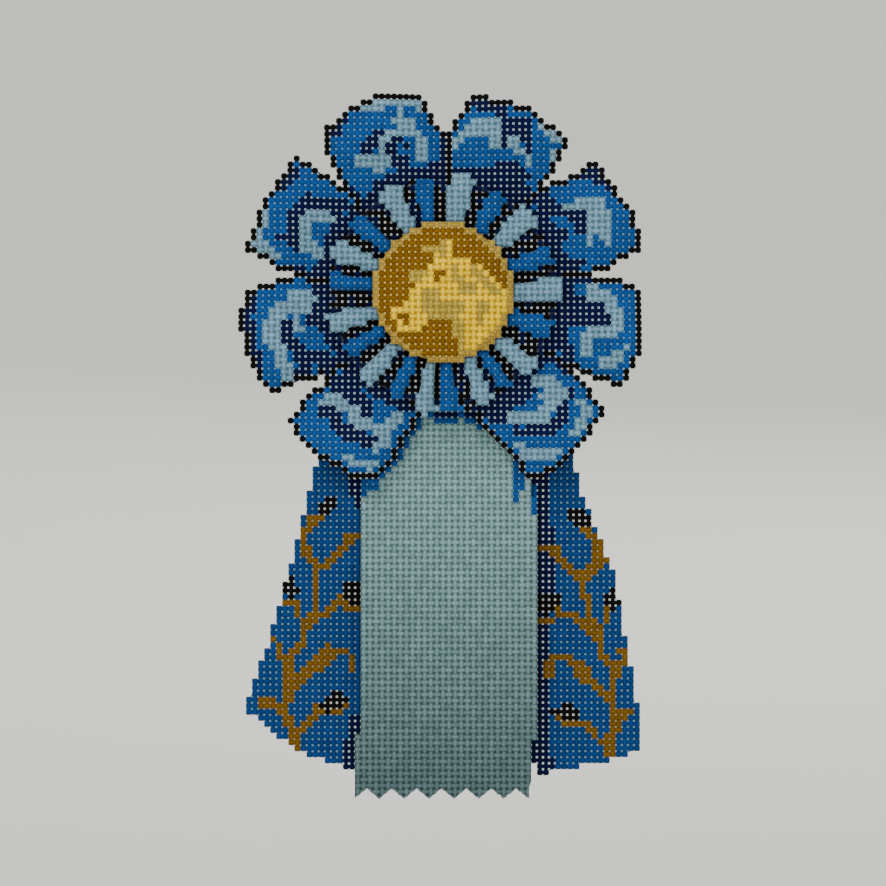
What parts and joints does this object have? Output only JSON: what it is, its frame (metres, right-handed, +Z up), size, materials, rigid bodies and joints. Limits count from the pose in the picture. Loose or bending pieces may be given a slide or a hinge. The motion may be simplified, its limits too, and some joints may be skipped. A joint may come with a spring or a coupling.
{
  "type": "award rosette",
  "caption": "Ribbon rosette with loop petals, a ring of pleats, a covered centre button with a horse's head, hanging tails and a bar pin on a card back.",
  "frame": {"origin": "centre of the backing card's back face, on the button's axis", "axes": "+X to the right as seen from the front, +Y out of the card's back, +Z up; the front faces -Y"},
  "size_m": [0.1291, 0.0281, 0.2269],
  "materials": {
    "mid_blue_ribbon": "woven canvas ribbon, mid blue, stitched pattern",
    "pale_blue_ribbon": "woven canvas ribbon, pale grey blue",
    "navy_ribbon": "woven canvas, navy to black",
    "gold_canvas": "woven canvas, dark gold with a yellow horse's head",
    "card": "uncoated card",
    "buckram": "starched open weave",
    "felt": "felt",
    "nickel": "nickel-plated steel",
    "brass": "stamped sheet, unpolished"
  },
  "bodies": {
    "rosette": {"petal_1": "mid_blue_ribbon", "petal_2": "mid_blue_ribbon", "petal_3": "mid_blue_ribbon", "petal_4": "mid_blue_ribbon", "petal_5": "mid_blue_ribbon", "petal_6": "mid_blue_ribbon", "petal_7": "mid_blue_ribbon", "petal_8": "mid_blue_ribbon", "pale_pleat_01": "pale_blue_ribbon", "blue_pleat_01": "mid_blue_ribbon", "pale_pleat_02": "pale_blue_ribbon", "blue_pleat_02": "mid_blue_ribbon", "pale_pleat_03": "pale_blue_ribbon", "blue_pleat_03": "mid_blue_ribbon", "pale_pleat_04": "pale_blue_ribbon", "blue_pleat_04": "mid_blue_ribbon", "pale_pleat_05": "pale_blue_ribbon", "blue_pleat_05": "mid_blue_ribbon", "pale_pleat_06": "pale_blue_ribbon", "blue_pleat_06": "mid_blue_ribbon", "pale_pleat_07": "pale_blue_ribbon", "blue_pleat_07": "mid_blue_ribbon", "pale_pleat_08": "pale_blue_ribbon", "blue_pleat_08": "mid_blue_ribbon", "pale_pleat_09": "pale_blue_ribbon", "blue_pleat_09": "mid_blue_ribbon", "pale_pleat_10": "pale_blue_ribbon", "blue_pleat_10": "mid_blue_ribbon", "backing_card": "card", "felt_pad": "felt", "buckram_disc": "buckram", "underlay_ring": "navy_ribbon", "button_cover": "gold_canvas", "button_shell": "brass", "button_back_plate": "nickel", "button_post": "nickel", "centre_tail_top": "pale_blue_ribbon", "left_tail_top": "mid_blue_ribbon", "right_tail_top": "mid_blue_ribbon", "pin_plate": "nickel", "hinge_rivet": "nickel", "plate_rivet_left": "nickel", "plate_rivet_right": "nickel", "staple_left": "nickel", "staple_right": "nickel"},
    "centre_tail_body": {"centre_tail": "pale_blue_ribbon"},
    "left_tail_body": {"left_tail": "mid_blue_ribbon"},
    "right_tail_body": {"right_tail": "mid_blue_ribbon"},
    "stem_body": {"pin_stem": "nickel"},
    "catch_body": {"catch_barrel": "nickel"}
  },
  "joints": [
    {"name": "pin_open", "type": "hinge", "parent": "rosette", "child": "stem_body", "pos_m": [-0.015, 0.0059, 0.015], "axis": [0, 0, 1], "range_deg": [0, 60]},
    {"name": "catch_turn", "type": "hinge", "parent": "rosette", "child": "catch_body", "pos_m": [0.0126, 0.0059, 0.015], "axis": [1, 0, 0], "range_deg": [0, 110]},
    {"name": "centre_tail_lift", "type": "hinge", "parent": "rosette", "child": "centre_tail_body", "pos_m": [0, -0.00385, -0.063], "axis": [-1, 0, 0], "range_deg": [0, 75]},
    {"name": "left_tail_fold", "type": "hinge", "parent": "rosette", "child": "left_tail_body", "pos_m": [0, -0.00285, -0.063], "axis": [1, 0, 0], "range_deg": [0, 60]},
    {"name": "right_tail_fold", "type": "hinge", "parent": "rosette", "child": "right_tail_body", "pos_m": [0, -0.00185, -0.063], "axis": [1, 0, 0], "range_deg": [0, 60]}
  ]
}
